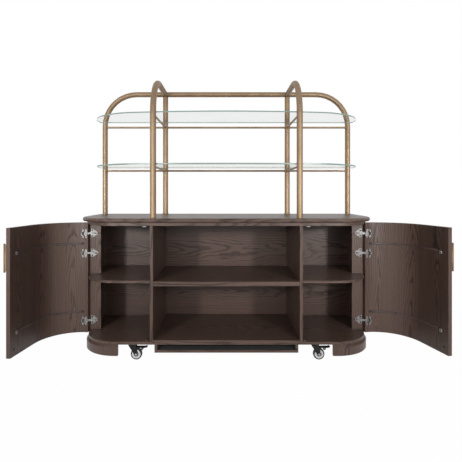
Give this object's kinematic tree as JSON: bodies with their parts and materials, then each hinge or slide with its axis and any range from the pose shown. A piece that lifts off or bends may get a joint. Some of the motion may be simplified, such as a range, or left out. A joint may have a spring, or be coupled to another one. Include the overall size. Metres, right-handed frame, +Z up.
{
  "type": "bar cabinet",
  "caption": "Long bar cabinet on casters with curved doors on cup hinges, open shelves between them and a bronze tube rack carrying glass shelves on top.",
  "frame": {"origin": "on the floor under the middle of the bounding box, both doors open", "axes": "+Z up, -Y out of the front, +X to the right seen from the front"},
  "size_m": [2.166, 0.6704, 1.5269],
  "materials": {
    "wood": "dark stained oak veneer, satin",
    "bronze": "brushed bronze",
    "steel": "dark satin",
    "nickel": "nickel plated",
    "glass": "clear, polished edges",
    "caster": "black",
    "wheel": "black tread on a grey hub"
  },
  "bodies": {
    "cabinet": {"back_panel": "wood", "centre_deck": "wood", "centre_shelf": "wood", "left_bottom": "wood", "left_bottom_hinge_arm": "nickel", "left_front_caster_plate": "caster", "left_hoop": "bronze", "left_middle_hinge_arm": "nickel", "left_partition": "wood", "left_rear_arch": "bronze", "left_rear_caster_bracket": "caster", "left_rear_post": "bronze", "left_shelf": "wood", "left_side_wall": "wood", "left_skirt": "wood", "left_stile": "wood", "left_top_hinge_arm": "nickel", "lower_glass_shelf": "glass", "lower_rear_rod": "bronze", "plinth_tray": "wood", "right_bottom": "wood", "right_bottom_hinge_arm": "nickel", "right_front_caster_plate": "caster", "right_hoop": "bronze", "right_middle_hinge_arm": "nickel", "right_partition": "wood", "right_rear_arch": "bronze", "right_rear_caster_bracket": "caster", "right_rear_post": "bronze", "right_shelf": "wood", "right_side_wall": "wood", "right_skirt": "wood", "right_stile": "wood", "right_top_hinge_arm": "nickel", "sub_top": "wood", "top_board": "wood", "upper_glass_shelf": "glass", "upper_rear_rod": "bronze"},
    "left_door": {"left_bottom_hinge_cup": "nickel", "left_door": "wood", "left_handle": "bronze", "left_lower_straightener": "steel", "left_middle_hinge_cup": "nickel", "left_top_hinge_cup": "nickel", "left_upper_straightener": "steel"},
    "left_front_fork": {"left_front_caster_fork": "caster"},
    "left_front_wheel": {"left_front_caster_wheel": "wheel"},
    "left_front_pedal": {"left_front_caster_pedal": "caster"},
    "left_rear_wheel": {"left_rear_caster_wheel": "wheel"},
    "right_door": {"right_bottom_hinge_cup": "nickel", "right_door": "wood", "right_handle": "bronze", "right_lower_straightener": "steel", "right_middle_hinge_cup": "nickel", "right_top_hinge_cup": "nickel", "right_upper_straightener": "steel"},
    "right_front_fork": {"right_front_caster_fork": "caster"},
    "right_front_wheel": {"right_front_caster_wheel": "wheel"},
    "right_front_pedal": {"right_front_caster_pedal": "caster"},
    "right_rear_wheel": {"right_rear_caster_wheel": "wheel"}
  },
  "joints": [
    {"name": "left_door_hinge", "type": "hinge", "parent": "cabinet", "child": "left_door", "pos_m": [-0.80581, 0.04165, 0.415], "axis": [0, 0, 1], "range_deg": [-7, 96.5]},
    {"name": "left_front_swivel", "type": "hinge", "parent": "cabinet", "child": "left_front_fork", "pos_m": [-0.52281, -0.07785, 0.09], "axis": [0, 0, 1], "continuous": true},
    {"name": "left_front_roll", "type": "hinge", "parent": "left_front_fork", "child": "left_front_wheel", "pos_m": [-0.50181, -0.07785, 0.03], "axis": [0, 1, 0], "continuous": true},
    {"name": "left_front_brake", "type": "hinge", "parent": "left_front_fork", "child": "left_front_pedal", "pos_m": [-0.50931, -0.07785, 0.06575], "axis": [0, 1, 0], "range_deg": [0, 6]},
    {"name": "left_rear_roll", "type": "hinge", "parent": "cabinet", "child": "left_rear_wheel", "pos_m": [-0.52281, 0.24515, 0.03], "axis": [0, 1, 0], "continuous": true},
    {"name": "right_door_hinge", "type": "hinge", "parent": "cabinet", "child": "right_door", "pos_m": [0.76419, 0.04165, 0.415], "axis": [0, 0, -1], "range_deg": [0, 103.5]},
    {"name": "right_front_swivel", "type": "hinge", "parent": "cabinet", "child": "right_front_fork", "pos_m": [0.45219, -0.07785, 0.09], "axis": [0, 0, 1], "continuous": true},
    {"name": "right_front_roll", "type": "hinge", "parent": "right_front_fork", "child": "right_front_wheel", "pos_m": [0.47319, -0.07785, 0.03], "axis": [0, 1, 0], "continuous": true},
    {"name": "right_front_brake", "type": "hinge", "parent": "right_front_fork", "child": "right_front_pedal", "pos_m": [0.46569, -0.07785, 0.06575], "axis": [0, 1, 0], "range_deg": [0, 6]},
    {"name": "right_rear_roll", "type": "hinge", "parent": "cabinet", "child": "right_rear_wheel", "pos_m": [0.45219, 0.24515, 0.03], "axis": [0, 1, 0], "continuous": true}
  ]
}
